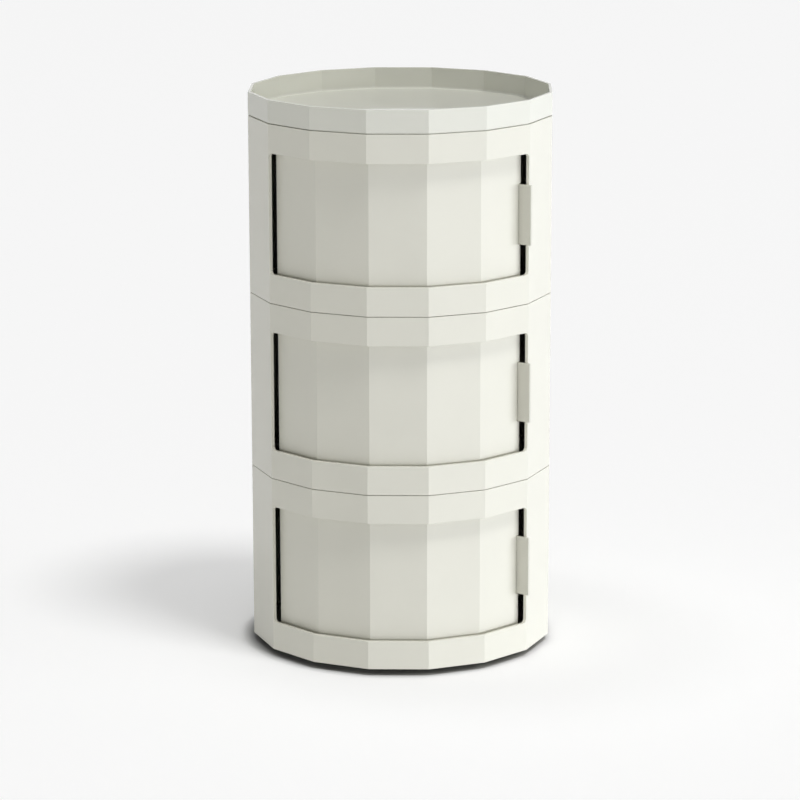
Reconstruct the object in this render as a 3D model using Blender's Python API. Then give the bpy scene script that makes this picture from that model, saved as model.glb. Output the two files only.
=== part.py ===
"""Round side cabinet: three stacked sixteen-sided drums with curved sliding doors, under a lift-off tray.

Metres, +Z up. The origin is on the floor, on the axis that the drums and doors share. The windows
face -Y, and an angle is counted from that front towards +X.
"""

import math

import bmesh
import bpy

# Drums
SIDES = 16
ACROSS_CORNERS = 0.320
SHELL_WALL = 0.0035
TIERS = ("lower", "middle", "upper")
TIER_PITCH = 0.186
GROUND_GAP = 0.007
SEAM_GAP = 0.0006
SKIRT = 0.0014
SEAT_GAP = 0.0003
EDGE_BREAK = 0.0004
EDGE_STEPS = 2

# Windows
WINDOW_FACETS = 5
JAMB_INSET = 0.0008
SILL_HEIGHT = 0.0308
LINTEL_HEIGHT = 0.0299
WINDOW_CORNER = 0.004
WINDOW_CORNER_STEPS = 4
CUT_MARGIN = 0.010

# Shelves, with a rail for the door above and one for the door below
SHELF_PLATE = 0.003
SPIGOT_FIT = 0.0004
SPIGOT_WALL = 0.002
SPIGOT_DEPTH = 0.004
RAIL_WALL = 0.0024
RAIL_HEIGHT = 0.005
RAIL_STEPS_PER_FACET = 4

# Tray
TRAY_HEIGHT = 0.0248
TRAY_WALL = 0.003
TRAY_FLOOR = 0.002
TRAY_FILLET = 0.002
TRAY_SEAM = 0.0011
TRAY_SEAM_DEPTH = 0.0024

# Doors
DOOR_PANEL = 0.0028
DOOR_CLEARANCE = 0.0029

# Pulls
PULL_THICKNESS = 0.0028
PULL_HEIGHT = 0.0623
PULL_REACH = 0.0045
PULL_PARK_GAP = 0.0006
PULL_FOOT = 0.012
PULL_FOOT_THICKNESS = 0.002
PULL_ROUND = 0.0006

# Glides
GLIDE_LENGTH = 0.022
GLIDE_CHEEK = 0.0016
GLIDE_WEB = 0.002
GLIDE_GRIP = 0.005
GLIDE_SADDLE = 0.0035
GLIDE_STATIONS = 5
RUN_CLEARANCE = 0.0005
LIFT_CLEARANCE = 0.0006

# Feet
FOOT_COUNT = 4
FOOT_DIAMETER = 0.024
FOOT_INSET = 0.042
FOOT_SOCKET = 0.001
FOOT_CHAMFER = 0.001
FOOT_STEPS = 24

# Worked out from the sizes above
FACET = math.tau / SIDES
FLAT_PER_CORNER = math.cos(FACET / 2)
CORNER_RADIUS = ACROSS_CORNERS / 2
OUTER_FLAT = CORNER_RADIUS * FLAT_PER_CORNER
INNER_FLAT = OUTER_FLAT - SHELL_WALL
SKIRT_FLAT = OUTER_FLAT - SKIRT
SHELF_FLAT = SKIRT_FLAT - SEAT_GAP
SHELF_TOP = SEAT_GAP + SHELF_PLATE
HALF_WINDOW = WINDOW_FACETS * FACET / 2
JAMB_ANGLE = HALF_WINDOW - JAMB_INSET / CORNER_RADIUS
DOOR_OUTER_FLAT = (INNER_FLAT - DOOR_CLEARANCE) * FLAT_PER_CORNER
DOOR_INNER_FLAT = DOOR_OUTER_FLAT - DOOR_PANEL
RAIL_RADIUS = DOOR_OUTER_FLAT - DOOR_PANEL / 2
RAIL_STEPS = RAIL_STEPS_PER_FACET * SIDES
LOWER_GLIDE_SEAT = SHELF_TOP + RAIL_HEIGHT
UPPER_GLIDE_SEAT = TIER_PITCH + SEAT_GAP - RAIL_HEIGHT - LIFT_CLEARANCE
GLIDE_TO_DOOR = SEAT_GAP + GLIDE_WEB + SEAT_GAP
DOOR_BOTTOM = LOWER_GLIDE_SEAT + GLIDE_TO_DOOR
DOOR_TOP = UPPER_GLIDE_SEAT - GLIDE_TO_DOOR
END_FACET = HALF_WINDOW - FACET / 2
PULL_ANGLE = JAMB_ANGLE - (PULL_PARK_GAP + PULL_THICKNESS / 2) / INNER_FLAT
PULL_BOTTOM = (TIER_PITCH - PULL_HEIGHT) / 2
PULL_TIP = CORNER_RADIUS + PULL_REACH
SHARP_ANGLE = math.radians(20)
BEVEL_ANGLE = math.radians(40)

for old in list(bpy.data.objects):
    bpy.data.objects.remove(old, do_unlink=True)


def plastic(name, colour, roughness):
    """Material of a moulded piece."""
    material = bpy.data.materials.new(name)
    material.use_nodes = True
    shader = material.node_tree.nodes["Principled BSDF"]
    shader.inputs["Base Color"].default_value = (*colour, 1.0)
    shader.inputs["Roughness"].default_value = roughness
    shader.inputs["Metallic"].default_value = 0.0
    return material


SHELL_PLASTIC = plastic("shell_ivory", (0.80, 0.79, 0.69), 0.25)
SHELF_PLASTIC = plastic("shelf_ivory", (0.78, 0.77, 0.67), 0.35)
TRAY_PLASTIC = plastic("tray_ivory", (0.80, 0.79, 0.69), 0.22)
DOOR_PLASTIC = plastic("door_ivory", (0.80, 0.79, 0.69), 0.25)
PULL_PLASTIC = plastic("pull_ivory", (0.80, 0.79, 0.69), 0.25)
GLIDE_PLASTIC = plastic("glide_natural", (0.72, 0.72, 0.70), 0.45)
FOOT_RUBBER = plastic("foot_rubber", (0.03, 0.03, 0.03), 0.85)


def polar(radius, angle, height=0.0):
    """Point at a radius from the axis and an angle from the front."""
    return (radius * math.sin(angle), -radius * math.cos(angle), height)


def corner(flat):
    """Corner radius of the sixteen-sided outline whose flats lie at this distance from the axis."""
    return flat / FLAT_PER_CORNER


def round_ring(radius, height):
    """A circle of the rails, as (sides, radius, height)."""
    return (RAIL_STEPS, radius, height)


def flat_ring(flat, height):
    """A sixteen-sided outline, as (sides, corner radius, height)."""
    return (SIDES, corner(flat), height)


def ring_verts(bm, ring):
    """Corners of a ring, the first two half a step to each side of the front."""
    sides, radius, height = ring
    step = math.tau / sides
    return [bm.verts.new(polar(radius, (k - 0.5) * step, height)) for k in range(sides)]


def ring_edges(bm, verts):
    return [bm.edges.get((verts[k - 1], verts[k])) for k in range(len(verts))]


def stitch(bm, first, second):
    """Faces between two rings, which may have unlike numbers of corners."""
    if len(first) == len(second):
        for k in range(len(first)):
            bm.faces.new((first[k - 1], first[k], second[k], second[k - 1]))
        return
    near = 0
    far = 0
    while near < len(first) or far < len(second):
        here = first[near % len(first)]
        there = second[far % len(second)]
        if (near + 0.5) / len(first) < (far + 0.5) / len(second):
            near += 1
            bm.faces.new((here, first[near % len(first)], there))
        else:
            far += 1
            bm.faces.new((here, second[far % len(second)], there))


def loft(bm, rings, hollow=False):
    """Skin over a row of rings. The two ends are capped or, on a hollow one, joined to each other."""
    loops = [ring_verts(bm, ring) for ring in rings]
    for first, second in zip(loops, loops[1:]):
        stitch(bm, first, second)
    if hollow:
        stitch(bm, loops[-1], loops[0])
    else:
        bm.faces.new(loops[0])
        bm.faces.new(loops[-1])
    bmesh.ops.recalc_face_normals(bm, faces=bm.faces)
    return loops


def prism(bm, outline, bottom, top):
    """Solid that stands on a plan outline."""
    face = bm.faces.new([bm.verts.new((x, y, bottom)) for x, y in outline])
    raised = bmesh.ops.extrude_face_region(bm, geom=[face])["geom"]
    lifted = [item for item in raised if isinstance(item, bmesh.types.BMVert)]
    bmesh.ops.translate(bm, verts=lifted, vec=(0.0, 0.0, top - bottom))
    bmesh.ops.recalc_face_normals(bm, faces=bm.faces)


def mesh_from(bm, name, material=None):
    """Mesh with smooth rounds and crisp facets."""
    mesh = bpy.data.meshes.new(name)
    bm.to_mesh(mesh)
    bm.free()
    mesh.shade_smooth()
    mesh.set_sharp_from_angle(angle=SHARP_ANGLE)
    if material:
        mesh.materials.append(material)
    return mesh


def place(name, mesh, parent=None, location=(0.0, 0.0, 0.0), rotation=(0.0, 0.0, 0.0)):
    """Object in the scene; with no mesh it is an empty."""
    body = bpy.data.objects.new(name, mesh)
    body.location = location
    body.rotation_euler = rotation
    body.parent = parent
    bpy.context.scene.collection.objects.link(body)
    return body


def place_cutter(name, mesh, parent, location=(0.0, 0.0, 0.0)):
    """Helper that only cuts."""
    cutter = place(name, mesh, parent, location)
    cutter.hide_render = True
    cutter.display_type = "WIRE"
    return cutter


def cut(body, cutter):
    modifier = body.modifiers.new(cutter.name, "BOOLEAN")
    modifier.operation = "DIFFERENCE"
    modifier.object = cutter


def round_edges(body, width):
    modifier = body.modifiers.new("edge_break", "BEVEL")
    modifier.width = width
    modifier.segments = EDGE_STEPS
    modifier.limit_method = "ANGLE"
    modifier.angle_limit = BEVEL_ANGLE


def window_corners(first):
    """Angles of the corners that the window spans, counted from its left jamb, without the right one."""
    return [number * FACET - HALF_WINDOW for number in range(first, WINDOW_FACETS)]


def fin_point(radius, side):
    """Plan point in the pull's own directions: out along its fin, and to the side of it."""
    x, y, _ = polar(radius, PULL_ANGLE)
    return (x + side * math.cos(PULL_ANGLE), y + side * math.sin(PULL_ANGLE))


def fin_meets_flat(flat, side):
    """Plan point where a face of the fin crosses a plane parallel to the door's end facet."""
    turn = PULL_ANGLE - END_FACET
    return fin_point((flat + side * math.sin(turn)) / math.cos(turn), side)


def shell_mesh():
    """Open drum wall. A step inside its lower edge stands on the shelf, and the skirt outside hides it."""
    bm = bmesh.new()
    shoulder = SHELF_TOP + SEAT_GAP
    section = [
        flat_ring(OUTER_FLAT, SEAM_GAP),
        flat_ring(OUTER_FLAT, TIER_PITCH),
        flat_ring(INNER_FLAT, TIER_PITCH),
        flat_ring(INNER_FLAT, shoulder),
        flat_ring(SKIRT_FLAT, shoulder),
        flat_ring(SKIRT_FLAT, SEAM_GAP),
    ]
    loft(bm, section, hollow=True)
    return mesh_from(bm, "shell", SHELL_PLASTIC)


def window_mesh():
    """What the window takes out of a shell: a curved block between radial jambs, with rounded corners."""
    bm = bmesh.new()
    angles = [-JAMB_ANGLE, *window_corners(1), JAMB_ANGLE]
    outside = [polar(CORNER_RADIUS + CUT_MARGIN, angle)[:2] for angle in angles]
    inside = [polar(INNER_FLAT - CUT_MARGIN, angle)[:2] for angle in reversed(angles)]
    prism(bm, outside + inside, SILL_HEIGHT, TIER_PITCH - LINTEL_HEIGHT)
    corners = [edge for face in bm.faces if is_jamb(face) for edge in face.edges if is_level(edge)]
    bmesh.ops.bevel(
        bm,
        geom=corners,
        offset=WINDOW_CORNER,
        segments=WINDOW_CORNER_STEPS,
        profile=0.5,
        affect="EDGES",
    )
    return mesh_from(bm, "window_cutter")


def is_jamb(face):
    """Whether every corner of a cutter's face is at a jamb."""
    past = JAMB_ANGLE - FACET / 4
    return all(abs(math.atan2(vert.co.x, -vert.co.y)) > past for vert in face.verts)


def is_level(edge):
    return abs(edge.verts[0].co.z - edge.verts[1].co.z) < SEAT_GAP


def hanging_rings(underside):
    """Rings, from the middle out, of the rail and the spigot under a shelf or the tray."""
    spigot_outer = INNER_FLAT - SPIGOT_FIT
    spigot_inner = spigot_outer - SPIGOT_WALL
    return [
        round_ring(RAIL_RADIUS - RAIL_WALL / 2, underside),
        round_ring(RAIL_RADIUS - RAIL_WALL / 2, underside - RAIL_HEIGHT),
        round_ring(RAIL_RADIUS + RAIL_WALL / 2, underside - RAIL_HEIGHT),
        round_ring(RAIL_RADIUS + RAIL_WALL / 2, underside),
        flat_ring(spigot_inner, underside),
        flat_ring(spigot_inner, underside - SPIGOT_DEPTH),
        flat_ring(spigot_outer, underside - SPIGOT_DEPTH),
        flat_ring(spigot_outer, underside),
    ]


def shelf_mesh(name, under):
    """Floor plate that a shell stands on, with a standing rail for its door and the given rings underneath."""
    bm = bmesh.new()
    rings = under + [
        flat_ring(SHELF_FLAT, SEAT_GAP),
        flat_ring(SHELF_FLAT, SHELF_TOP),
        round_ring(RAIL_RADIUS + RAIL_WALL / 2, SHELF_TOP),
        round_ring(RAIL_RADIUS + RAIL_WALL / 2, SHELF_TOP + RAIL_HEIGHT),
        round_ring(RAIL_RADIUS - RAIL_WALL / 2, SHELF_TOP + RAIL_HEIGHT),
        round_ring(RAIL_RADIUS - RAIL_WALL / 2, SHELF_TOP),
    ]
    loft(bm, rings)
    return mesh_from(bm, name, SHELF_PLASTIC)


def tray_mesh():
    """Shallow dish that rests on the top shell, with a shadow line under its outer edge."""
    bm = bmesh.new()
    tray_inner_flat = OUTER_FLAT - TRAY_WALL
    rings = hanging_rings(SEAT_GAP) + [
        flat_ring(OUTER_FLAT - TRAY_SEAM_DEPTH, SEAT_GAP),
        flat_ring(OUTER_FLAT - TRAY_SEAM_DEPTH, TRAY_SEAM),
        flat_ring(OUTER_FLAT, TRAY_SEAM),
        flat_ring(OUTER_FLAT, TRAY_HEIGHT),
        flat_ring(tray_inner_flat, TRAY_HEIGHT),
        flat_ring(tray_inner_flat, SEAT_GAP + TRAY_FLOOR),
    ]
    loops = loft(bm, rings)
    lower_edge, rim_outside, rim_inside, floor_edge = [ring_edges(bm, loop) for loop in loops[-4:]]
    fillets = ((floor_edge, TRAY_FILLET), (lower_edge + rim_outside + rim_inside, EDGE_BREAK))
    for edges, radius in fillets:
        bmesh.ops.bevel(
            bm, geom=edges, offset=radius, segments=EDGE_STEPS, profile=0.5, affect="EDGES"
        )
    return mesh_from(bm, "tray", TRAY_PLASTIC)


def door_mesh():
    """Faceted curved panel whose corners clear the flats of the shell that it turns inside."""
    bm = bmesh.new()
    angles = window_corners(0)
    half = PULL_THICKNESS / 2
    outside = [polar(corner(DOOR_OUTER_FLAT), angle)[:2] for angle in angles]
    inside = [polar(corner(DOOR_INNER_FLAT), angle)[:2] for angle in reversed(angles)]
    end = [fin_meets_flat(DOOR_OUTER_FLAT, half), fin_meets_flat(DOOR_INNER_FLAT, half)]
    prism(bm, outside + end + inside, DOOR_BOTTOM, DOOR_TOP)
    return mesh_from(bm, "door", DOOR_PLASTIC)


def notch_mesh():
    """What the door's closing edge gives up to let the pull through."""
    bm = bmesh.new()
    near = -(PULL_THICKNESS / 2 + SEAT_GAP)
    far = PULL_THICKNESS / 2 + CUT_MARGIN
    inner = DOOR_INNER_FLAT - CUT_MARGIN
    outer = corner(DOOR_OUTER_FLAT) + CUT_MARGIN
    outline = [fin_point(inner, near), fin_point(outer, near), fin_point(outer, far), fin_point(inner, far)]
    prism(bm, outline, PULL_BOTTOM - SEAT_GAP, PULL_BOTTOM + PULL_HEIGHT + SEAT_GAP)
    return mesh_from(bm, "notch_cutter")


def pull_mesh():
    """Fin that stands out through the window, with a foot behind the door's end facet."""
    bm = bmesh.new()
    half = PULL_THICKNESS / 2
    foot_outer = DOOR_INNER_FLAT - SEAT_GAP
    foot_inner = foot_outer - PULL_FOOT_THICKNESS
    root = fin_meets_flat(foot_outer, -half)
    heel = (root[0] - PULL_FOOT * math.cos(END_FACET), root[1] - PULL_FOOT * math.sin(END_FACET))
    inward = polar(-PULL_FOOT_THICKNESS, END_FACET)
    outline = [
        fin_point(PULL_TIP, -half),
        root,
        heel,
        (heel[0] + inward[0], heel[1] + inward[1]),
        fin_meets_flat(foot_inner, half),
        fin_point(PULL_TIP, half),
    ]
    prism(bm, outline, PULL_BOTTOM, PULL_BOTTOM + PULL_HEIGHT)
    return mesh_from(bm, "pull", PULL_PLASTIC)


def glide_mesh():
    """H-shaped shoe: its upper slot grips the door's straight edge, its lower one rides the curved rail."""
    bm = bmesh.new()
    grip = DOOR_PANEL / 2 + SEAT_GAP
    side = grip + GLIDE_CHEEK
    saddle = RAIL_WALL / 2 + RUN_CLEARANCE
    web_low = SEAT_GAP
    web_high = web_low + GLIDE_WEB
    top = web_high + GLIDE_GRIP
    low = web_low - GLIDE_SADDLE
    stations = []
    for number in range(GLIDE_STATIONS):
        along = GLIDE_LENGTH * (number / (GLIDE_STATIONS - 1) - 0.5)
        sag = RAIL_RADIUS - math.sqrt(RAIL_RADIUS**2 - along**2)
        outline = [
            (-side, top),
            (-grip, top),
            (-grip, web_high),
            (grip, web_high),
            (grip, top),
            (side, top),
            (side, low),
            (saddle - sag, low),
            (saddle - sag, web_low),
            (-saddle - sag, web_low),
            (-saddle - sag, low),
            (-side, low),
        ]
        stations.append([bm.verts.new((along, -out, height)) for out, height in outline])
    for first, second in zip(stations, stations[1:]):
        for k in range(len(first)):
            bm.faces.new((first[k - 1], first[k], second[k], second[k - 1]))
    bm.faces.new(stations[0])
    bm.faces.new(stations[-1])
    bmesh.ops.recalc_face_normals(bm, faces=bm.faces)
    return mesh_from(bm, "glide", GLIDE_PLASTIC)


def disc_mesh(name, rings, material=None):
    bm = bmesh.new()
    loft(bm, rings)
    return mesh_from(bm, name, material)


def add_door(tier, parent):
    """Door, pull and glides of one tier, on an empty that turns about the drum's axis."""
    axis = place(f"{tier}_door_axis", None, parent)
    door = place(f"{tier}_door", DOOR, axis)
    cut(door, place_cutter(f"{tier}_notch_cutter", NOTCH, axis))
    round_edges(door, EDGE_BREAK)
    pull = place(f"{tier}_pull", PULL, axis)
    round_edges(pull, PULL_ROUND)
    for hand, angle in (("left", -END_FACET), ("right", END_FACET)):
        low = polar(RAIL_RADIUS, angle, LOWER_GLIDE_SEAT)
        high = polar(RAIL_RADIUS, angle, UPPER_GLIDE_SEAT)
        place(f"{tier}_bottom_glide_{hand}", GLIDE, axis, low, (0.0, 0.0, angle))
        place(f"{tier}_top_glide_{hand}", GLIDE, axis, high, (0.0, math.pi, angle))


def add_tier(tier, level):
    """One drum: its shelf, its shell with a window, and its door."""
    stand = place(f"{tier}_tier", None, None, (0.0, 0.0, level))
    shell = place(f"{tier}_shell", SHELL, stand)
    cut(shell, place_cutter(f"{tier}_window_cutter", WINDOW, stand))
    round_edges(shell, EDGE_BREAK)
    shelf = place(f"{tier}_shelf", BASE_SHELF if tier == TIERS[0] else SHELF, stand)
    add_door(tier, stand)
    return shelf


def add_feet(base_shelf, level):
    """Rubber pads let into sockets under the lowest shelf, halfway between the front and the sides."""
    underside = level + SEAT_GAP
    pad_radius = FOOT_DIAMETER / 2
    pad_top = underside + FOOT_SOCKET - SEAT_GAP
    pad = disc_mesh(
        "foot",
        [
            (FOOT_STEPS, pad_radius - FOOT_CHAMFER, 0.0),
            (FOOT_STEPS, pad_radius, FOOT_CHAMFER),
            (FOOT_STEPS, pad_radius, pad_top),
        ],
        FOOT_RUBBER,
    )
    socket = disc_mesh(
        "socket_cutter",
        [
            (FOOT_STEPS, pad_radius + SEAT_GAP, underside - CUT_MARGIN),
            (FOOT_STEPS, pad_radius + SEAT_GAP, underside + FOOT_SOCKET),
        ],
    )
    for number in range(FOOT_COUNT):
        spot = polar(OUTER_FLAT - FOOT_INSET, (number + 0.5) * math.tau / FOOT_COUNT)
        place(f"foot_{number + 1}", pad, None, spot)
        cut(base_shelf, place_cutter(f"socket_cutter_{number + 1}", socket, None, spot))


SHELL = shell_mesh()
WINDOW = window_mesh()
SHELF = shelf_mesh("shelf", hanging_rings(SEAT_GAP))
BASE_SHELF = shelf_mesh("base_shelf", [])
DOOR = door_mesh()
NOTCH = notch_mesh()
PULL = pull_mesh()
GLIDE = glide_mesh()

floor_level = GROUND_GAP - SEAM_GAP
shelves = [add_tier(tier, floor_level + k * TIER_PITCH) for k, tier in enumerate(TIERS)]
add_feet(shelves[0], floor_level)
place("top_tray", tray_mesh(), None, (0.0, 0.0, floor_level + len(TIERS) * TIER_PITCH))
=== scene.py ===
"""Looks of the round side cabinet: a finish for every solid, studio light, floor and camera."""

import math

import bpy
from mathutils import Euler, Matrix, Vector

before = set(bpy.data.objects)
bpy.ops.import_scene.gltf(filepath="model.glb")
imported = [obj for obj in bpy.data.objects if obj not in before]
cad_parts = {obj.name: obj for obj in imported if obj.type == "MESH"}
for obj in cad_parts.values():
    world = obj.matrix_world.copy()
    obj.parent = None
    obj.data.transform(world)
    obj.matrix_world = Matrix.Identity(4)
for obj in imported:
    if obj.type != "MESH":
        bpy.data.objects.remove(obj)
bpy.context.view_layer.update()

# Sizes in metres, angles in degrees, in the frame of the solids: +Z up, windows towards -Y.
# A lamp's azimuth is counted from -Y, positive towards +X.

# Camera
CAMERA_PLACE = (0.0712, -3.4691, 1.0837)
CAMERA_DOWN = 13.422
CAMERA_LEFT = 1.195
CAMERA_ROLL = -0.111
CAMERA_LENS = 151.27
SENSOR_WIDTH = 36.0

# Floor. Its paint is darker under the base: painted shade. Rays that see it get some white added, less of
# it near the cabinet on the lit side, and none under the base, so the held-back white paints shade near
# the cabinet and a contact shadow under the base.
FLOOR_REACH = 30.0
FLOOR_COLOUR = (0.80, 0.80, 0.80)
FLOOR_LIFT = 0.32
# Painted shade: the dark floor paint under the base, and the span over which it turns back to the floor's
# colour.
PAINTED_SHADE_COLOUR = (0.30, 0.30, 0.30)
PAINTED_SHADE_SPAN = (0.146, 0.161)
# Painted contact shadow: no white is added to the floor within this span round the base.
CONTACT_SHADOW_CENTRE = (-0.006, 0.0, 0.0)
CONTACT_SHADOW_SPAN = (0.155, 0.171)
# Painted shade near the cabinet's lit side: only this share of the white is added at the centre of this
# span.
NEAR_SHADE_CENTRE = (0.10, -0.03, 0.0)
NEAR_SHADE_SPAN = (0.155, 0.33)
NEAR_SHADE_WHITE_SHARE = 0.76

# Backdrop
SKY_STRENGTH = 0.20
BACKDROP_WHITE = 0.947

# Soft boxes. The low pair stands on the floor, and the high pair also shines over the rim into the tray.
PANEL_REACH = 16.0
PANEL_WIDTH = 10.0
PANEL_HEIGHT = 0.56
PANELS = {
    "right": {"azimuth": 76.0, "bottom": 0.0, "power": 1412.0, "colour": (0.955, 0.98, 1.08)},
    "right_high": {"azimuth": 85.0, "bottom": 1.6, "power": 390.0, "colour": (1.0, 1.0, 1.0)},
    "front": {"azimuth": -34.0, "bottom": 0.0, "power": 385.0, "colour": (1.0, 1.0, 1.0)},
    "front_high": {"azimuth": 10.0, "bottom": 1.6, "power": 150.0, "colour": (1.0, 1.0, 1.0)},
}

# Lamps overhead. The key throws the shadow, and is the one lamp that shows in gloss.
SUN_REACH = 3.0
SUNS = {
    "key": {"azimuth": 50.0, "elevation": 65.0, "spread": 15.0, "strength": 1.2, "mirrored": True},
    "top": {"azimuth": 0.0, "elevation": 89.0, "spread": 30.0, "strength": 0.56, "mirrored": False},
}

# Shading
SMOOTH_LIMIT = 20.0
WELD_DISTANCE = 0.00001

# Stretches of a noise's values: where most of them lie, and the upper part of those
NOISE_MIDDLE = (0.3, 0.7)
NOISE_UPPER = (0.45, 0.75)

# Moulded plastic. Each roughness runs from clean to rubbed.
IVORY = (0.76, 0.752, 0.662)
TRAY_IVORY = (0.75, 0.753, 0.674)
# The pull is the same plastic as the shell; its darker ivory is painted shade.
PULL_IVORY_PAINTED_SHADE = (0.66, 0.653, 0.574)
SATIN_IVORY = (0.74, 0.732, 0.645)
PLASTICS = {
    "tray": {"colour": TRAY_IVORY, "roughness": (0.04, 0.07)},
    "shell": {"colour": IVORY, "roughness": (0.07, 0.10)},
    "shelf": {"colour": SATIN_IVORY, "roughness": (0.30, 0.36)},
    "door": {"colour": IVORY, "roughness": (0.05, 0.08)},
    # The pull's darker ivory is painted shade.
    "pull": {"colour": PULL_IVORY_PAINTED_SHADE, "roughness": (0.10, 0.14)},
}
PLASTIC_IOR = 1.42
DRIFT_SIZE = 0.07
DRIFT_SPREAD = 0.012
RUB_SIZE = 0.02
SINK_SIZE = 0.05
SINK_DEPTH = 0.0001
PEEL_SIZE = 0.0012
PEEL_DEPTH = 0.000004

# Nylon
NATURAL_WHITE = (0.72, 0.72, 0.70)
CLOUD_SIZE = 0.006
CLOUD_SPREAD = 0.03
NYLON_ROUGHNESS = (0.4, 0.55)
NYLON_PATCH_SIZE = 0.002
NYLON_GRAIN_SIZE = 0.0006
NYLON_GRAIN_DEPTH = 0.00001

# Rubber
RUBBER_BLACK = (0.03, 0.03, 0.03)
DUST_SIZE = 0.004
DUST_SPREAD = 0.3
RUBBER_ROUGHNESS = (0.75, 0.95)
RUBBER_PATCH_SIZE = 0.002
RUBBER_GRAIN_SIZE = 0.0005
RUBBER_GRAIN_DEPTH = 0.00003


def smooth_group():
    """Geometry nodes that weld a solid's faces and smooth every edge flatter than the limit."""
    tree = bpy.data.node_groups.new("smooth_rounds", "GeometryNodeTree")
    tree.interface.new_socket("Geometry", in_out="INPUT", socket_type="NodeSocketGeometry")
    tree.interface.new_socket("Geometry", in_out="OUTPUT", socket_type="NodeSocketGeometry")
    nodes = tree.nodes
    links = tree.links
    source = nodes.new("NodeGroupInput")
    target = nodes.new("NodeGroupOutput")
    strip = nodes.new("GeometryNodeRemoveAttribute")
    strip.inputs["Name"].default_value = "custom_normal"
    weld = nodes.new("GeometryNodeMergeByDistance")
    weld.inputs["Distance"].default_value = WELD_DISTANCE
    angle = nodes.new("GeometryNodeInputMeshEdgeAngle")
    flat_enough = nodes.new("FunctionNodeCompare")
    flat_enough.data_type = "FLOAT"
    flat_enough.operation = "LESS_EQUAL"
    flat_enough.inputs["B"].default_value = math.radians(SMOOTH_LIMIT)
    smooth_edges = nodes.new("GeometryNodeSetShadeSmooth")
    smooth_edges.domain = "EDGE"
    smooth_faces = nodes.new("GeometryNodeSetShadeSmooth")
    smooth_faces.domain = "FACE"
    links.new(source.outputs["Geometry"], strip.inputs["Geometry"])
    links.new(strip.outputs["Geometry"], weld.inputs["Geometry"])
    links.new(angle.outputs["Unsigned Angle"], flat_enough.inputs["A"])
    links.new(weld.outputs["Geometry"], smooth_edges.inputs["Geometry"])
    links.new(flat_enough.outputs["Result"], smooth_edges.inputs["Shade Smooth"])
    links.new(smooth_edges.outputs["Geometry"], smooth_faces.inputs["Geometry"])
    links.new(smooth_faces.outputs["Geometry"], target.inputs["Geometry"])
    return tree


class Finish:
    """A material under construction: a Principled shader and the textures that drive it."""

    def __init__(self, name):
        self.material = bpy.data.materials.new(name)
        self.material.use_nodes = True
        self.tree = self.material.node_tree
        self.shader = self.tree.nodes["Principled BSDF"]
        self.coordinates = self.tree.nodes.new("ShaderNodeTexCoord").outputs["Object"]

    def link(self, source, target):
        self.tree.links.new(source, target)

    def noise(self, size, detail):
        """Noise between 0 and 1 with lumps of about the given size."""
        texture = self.tree.nodes.new("ShaderNodeTexNoise")
        texture.inputs["Scale"].default_value = 1.0 / size
        texture.inputs["Detail"].default_value = detail
        self.link(self.coordinates, texture.inputs["Vector"])
        return texture.outputs["Fac"]

    def remap(self, value, source, target):
        """A value taken from one range to another, held at the ends."""
        node = self.tree.nodes.new("ShaderNodeMapRange")
        node.inputs["From Min"].default_value, node.inputs["From Max"].default_value = source
        node.inputs["To Min"].default_value, node.inputs["To Max"].default_value = target
        self.link(value, node.inputs["Value"])
        return node.outputs["Result"]

    def colour(self, value, colour, spread):
        """Base colour that drifts with a value, darker to lighter by the given share."""
        mix = self.tree.nodes.new("ShaderNodeMix")
        mix.data_type = "RGBA"
        first, second = [socket for socket in mix.inputs if socket.type == "RGBA"]
        first.default_value = (*[part * (1.0 - spread) for part in colour], 1.0)
        second.default_value = (*[part * (1.0 + spread) for part in colour], 1.0)
        self.link(value, mix.inputs["Factor"])
        result = next(socket for socket in mix.outputs if socket.type == "RGBA")
        self.link(result, self.shader.inputs["Base Color"])

    def roughness(self, value):
        self.link(value, self.shader.inputs["Roughness"])

    def relief(self, layers):
        """Bumps laid over each other, each a height and the depth that it stands for."""
        normal = None
        for height, depth in layers:
            bump = self.tree.nodes.new("ShaderNodeBump")
            bump.inputs["Distance"].default_value = depth
            self.link(height, bump.inputs["Height"])
            if normal:
                self.link(normal, bump.inputs["Normal"])
            normal = bump.outputs["Normal"]
        self.link(normal, self.shader.inputs["Normal"])


def moulded_plastic(name, colour, roughness):
    """Injection moulding: slow drift of shade, faint sink waves, fine peel, and rub marks that dull it."""
    finish = Finish(name)
    finish.shader.inputs["IOR"].default_value = PLASTIC_IOR
    drift = finish.remap(finish.noise(DRIFT_SIZE, detail=3.0), NOISE_MIDDLE, (0.0, 1.0))
    finish.colour(drift, colour, DRIFT_SPREAD)
    finish.roughness(finish.remap(finish.noise(RUB_SIZE, detail=5.0), NOISE_UPPER, roughness))
    sink = finish.noise(SINK_SIZE, detail=0.0)
    peel = finish.noise(PEEL_SIZE, detail=1.0)
    finish.relief([(sink, SINK_DEPTH), (peel, PEEL_DEPTH)])
    return finish.material


def slippery_nylon(name):
    """Natural white plastic: dull, slightly clouded."""
    finish = Finish(name)
    finish.shader.inputs["IOR"].default_value = PLASTIC_IOR
    finish.colour(finish.noise(CLOUD_SIZE, detail=3.0), NATURAL_WHITE, CLOUD_SPREAD)
    patches = finish.noise(NYLON_PATCH_SIZE, detail=3.0)
    finish.roughness(finish.remap(patches, NOISE_MIDDLE, NYLON_ROUGHNESS))
    finish.relief([(finish.noise(NYLON_GRAIN_SIZE, detail=2.0), NYLON_GRAIN_DEPTH)])
    return finish.material


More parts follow.
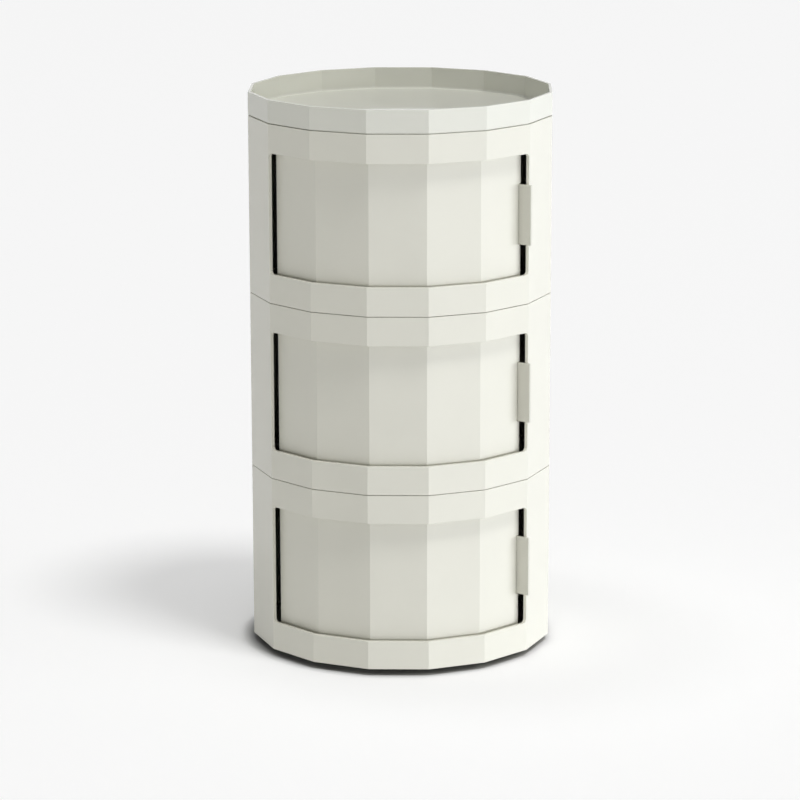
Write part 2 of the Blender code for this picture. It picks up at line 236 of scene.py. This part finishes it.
def soft_rubber(name):
    """Dark pad: matt, with a fine grain and a little dust."""
    finish = Finish(name)
    finish.colour(finish.noise(DUST_SIZE, detail=4.0), RUBBER_BLACK, DUST_SPREAD)
    patches = finish.noise(RUBBER_PATCH_SIZE, detail=3.0)
    finish.roughness(finish.remap(patches, NOISE_MIDDLE, RUBBER_ROUGHNESS))
    finish.relief([(finish.noise(RUBBER_GRAIN_SIZE, detail=2.0), RUBBER_GRAIN_DEPTH)])
    return finish.material


def finishes():
    """Materials by the word in a node's name that says what the piece is."""
    materials = {kind: moulded_plastic(f"{kind}_plastic", **look) for kind, look in PLASTICS.items()}
    materials["glide"] = slippery_nylon("glide_plastic")
    materials["foot"] = soft_rubber("foot_rubber")
    return materials


def dress_solids():
    """Gives every solid its finish and its smooth rounds."""
    group = smooth_group()
    materials = finishes()
    for name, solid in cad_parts.items():
        kind = next(word for word in name.split("_") if word in materials)
        solid.data.materials.clear()
        solid.data.materials.append(materials[kind])
        modifier = solid.modifiers.new("smooth_rounds", "NODES")
        modifier.node_group = group


def seen_rays(tree):
    """Output that is 1 for rays that see the background straight, in a mirror or through glass."""
    path = tree.nodes.new("ShaderNodeLightPath")
    seen = path.outputs["Is Camera Ray"]
    for kind in ("Is Glossy Ray", "Is Transmission Ray"):
        either = tree.nodes.new("ShaderNodeMath")
        either.operation = "MAXIMUM"
        tree.links.new(seen, either.inputs[0])
        tree.links.new(path.outputs[kind], either.inputs[1])
        seen = either.outputs["Value"]
    return seen


def seen_strength(tree, unseen, seen):
    """Strength for lighting rays and strength for rays that see the background."""
    node = tree.nodes.new("ShaderNodeMapRange")
    node.inputs["To Min"].default_value = unseen
    node.inputs["To Max"].default_value = seen
    tree.links.new(seen_rays(tree), node.inputs["Value"])
    return node.outputs["Result"]


def rise(tree, value, span, low):
    """A value's soft rise over a span, from a low share to the whole."""
    ramp = tree.nodes.new("ShaderNodeMapRange")
    ramp.interpolation_type = "SMOOTHSTEP"
    ramp.inputs["From Min"].default_value, ramp.inputs["From Max"].default_value = span
    ramp.inputs["To Min"].default_value = low
    tree.links.new(value, ramp.inputs["Value"])
    return ramp.outputs["Result"]


def product(tree, first, second):
    node = tree.nodes.new("ShaderNodeMath")
    node.operation = "MULTIPLY"
    tree.links.new(first, node.inputs[0])
    tree.links.new(second, node.inputs[1])
    return node.outputs["Value"]


def distance(tree, centre):
    """Distance of the shaded point from a centre."""
    node = tree.nodes.new("ShaderNodeVectorMath")
    node.operation = "DISTANCE"
    node.inputs[1].default_value = centre
    tree.links.new(tree.nodes.new("ShaderNodeTexCoord").outputs["Object"], node.inputs[0])
    return node.outputs["Value"]


def paint_with_painted_shade(tree, light_share):
    """Floor paint that turns darker under the cabinet's base: painted shade."""
    mix = tree.nodes.new("ShaderNodeMix")
    mix.data_type = "RGBA"
    under, clear = [socket for socket in mix.inputs if socket.type == "RGBA"]
    # The dark paint under the base is painted shade.
    under.default_value = (*PAINTED_SHADE_COLOUR, 1.0)
    clear.default_value = (*FLOOR_COLOUR, 1.0)
    tree.links.new(light_share, mix.inputs["Factor"])
    paint = tree.nodes.new("ShaderNodeBsdfDiffuse")
    result = next(socket for socket in mix.outputs if socket.type == "RGBA")
    tree.links.new(result, paint.inputs["Color"])
    return paint


def floor_white_with_painted_shade():
    """Matt paint, and the white that rays which see the floor get on top of it; both hold painted shade at
    the base.
    """
    material = bpy.data.materials.new("floor_white_with_painted_shade")
    material.use_nodes = True
    tree = material.node_tree
    tree.nodes.clear()
    from_base = distance(tree, CONTACT_SHADOW_CENTRE)
    # The added white is held back under the base as a painted contact shadow, and near the lit side as
    # painted shade.
    contact_shadow = rise(tree, from_base, CONTACT_SHADOW_SPAN, 0.0)
    near = rise(tree, distance(tree, NEAR_SHADE_CENTRE), NEAR_SHADE_SPAN, NEAR_SHADE_WHITE_SHARE)
    # Painted shade: the paint is dark under the base.
    paint = paint_with_painted_shade(tree, rise(tree, from_base, PAINTED_SHADE_SPAN, 0.0))
    lift = tree.nodes.new("ShaderNodeEmission")
    strength = product(tree, seen_strength(tree, 0.0, FLOOR_LIFT), product(tree, contact_shadow, near))
    tree.links.new(strength, lift.inputs["Strength"])
    total = tree.nodes.new("ShaderNodeAddShader")
    out = tree.nodes.new("ShaderNodeOutputMaterial")
    tree.links.new(paint.outputs[0], total.inputs[0])
    tree.links.new(lift.outputs[0], total.inputs[1])
    tree.links.new(total.outputs[0], out.inputs["Surface"])
    return material


def add_floor():
    mesh = bpy.data.meshes.new("floor")
    reach = FLOOR_REACH
    corners = [(-reach, -reach, 0.0), (reach, -reach, 0.0), (reach, reach, 0.0), (-reach, reach, 0.0)]
    mesh.from_pydata(corners, [], [(0, 1, 2, 3)])
    mesh.materials.append(floor_white_with_painted_shade())
    floor = bpy.data.objects.new("floor", mesh)
    bpy.context.scene.collection.objects.link(floor)


def add_sky():
    world = bpy.data.worlds.new("studio")
    bpy.context.scene.world = world
    world.use_nodes = True
    tree = world.node_tree
    background = tree.nodes["Background"]
    background.inputs["Color"].default_value = (1.0, 1.0, 1.0, 1.0)
    tree.links.new(seen_strength(tree, SKY_STRENGTH, BACKDROP_WHITE), background.inputs["Strength"])


def towards(azimuth, elevation):
    """Unit vector from the object to a lamp."""
    turn = math.radians(azimuth)
    climb = math.radians(elevation)
    return Vector((math.sin(turn) * math.cos(climb), -math.cos(turn) * math.cos(climb), math.sin(climb)))


def add_lamp(lamp, place, outward, mirrored):
    """Puts a lamp at a place, shining against its outward direction; gloss shows only a mirrored one."""
    holder = bpy.data.objects.new(lamp.name, lamp)
    holder.location = place
    holder.rotation_euler = (-outward).to_track_quat("-Z", "Y").to_euler()
    holder.visible_glossy = mirrored
    bpy.context.scene.collection.objects.link(holder)


def add_panel(name, azimuth, bottom, power, colour):
    lamp = bpy.data.lights.new(name, "AREA")
    lamp.shape = "RECTANGLE"
    lamp.size = PANEL_WIDTH
    lamp.size_y = PANEL_HEIGHT
    lamp.energy = power
    lamp.color = colour
    outward = towards(azimuth, 0.0)
    middle = Vector((0.0, 0.0, bottom + PANEL_HEIGHT / 2))
    add_lamp(lamp, outward * PANEL_REACH + middle, outward, mirrored=False)


def add_sun(name, azimuth, elevation, spread, strength, mirrored):
    lamp = bpy.data.lights.new(name, "SUN")
    lamp.angle = math.radians(spread)
    lamp.energy = strength
    outward = towards(azimuth, elevation)
    add_lamp(lamp, outward * SUN_REACH, outward, mirrored)


def add_lamps():
    for name, panel in PANELS.items():
        add_panel(name, **panel)
    for name, sun in SUNS.items():
        add_sun(name, **sun)


def add_camera():
    """Camera that looks along +Y before it is turned down and left, and then rolled."""
    lens = bpy.data.cameras.new("camera")
    lens.lens = CAMERA_LENS
    lens.sensor_width = SENSOR_WIDTH
    camera = bpy.data.objects.new("camera", lens)
    camera.location = CAMERA_PLACE
    turn = Euler((math.radians(90.0 - CAMERA_DOWN), 0.0, math.radians(CAMERA_LEFT)))
    roll = Euler((0.0, 0.0, math.radians(CAMERA_ROLL)))
    camera.rotation_euler = (turn.to_matrix() @ roll.to_matrix()).to_euler()
    bpy.context.scene.collection.objects.link(camera)
    bpy.context.scene.camera = camera


dress_solids()
add_floor()
add_sky()
add_lamps()
add_camera()
bpy.context.scene.view_settings.view_transform = "Standard"
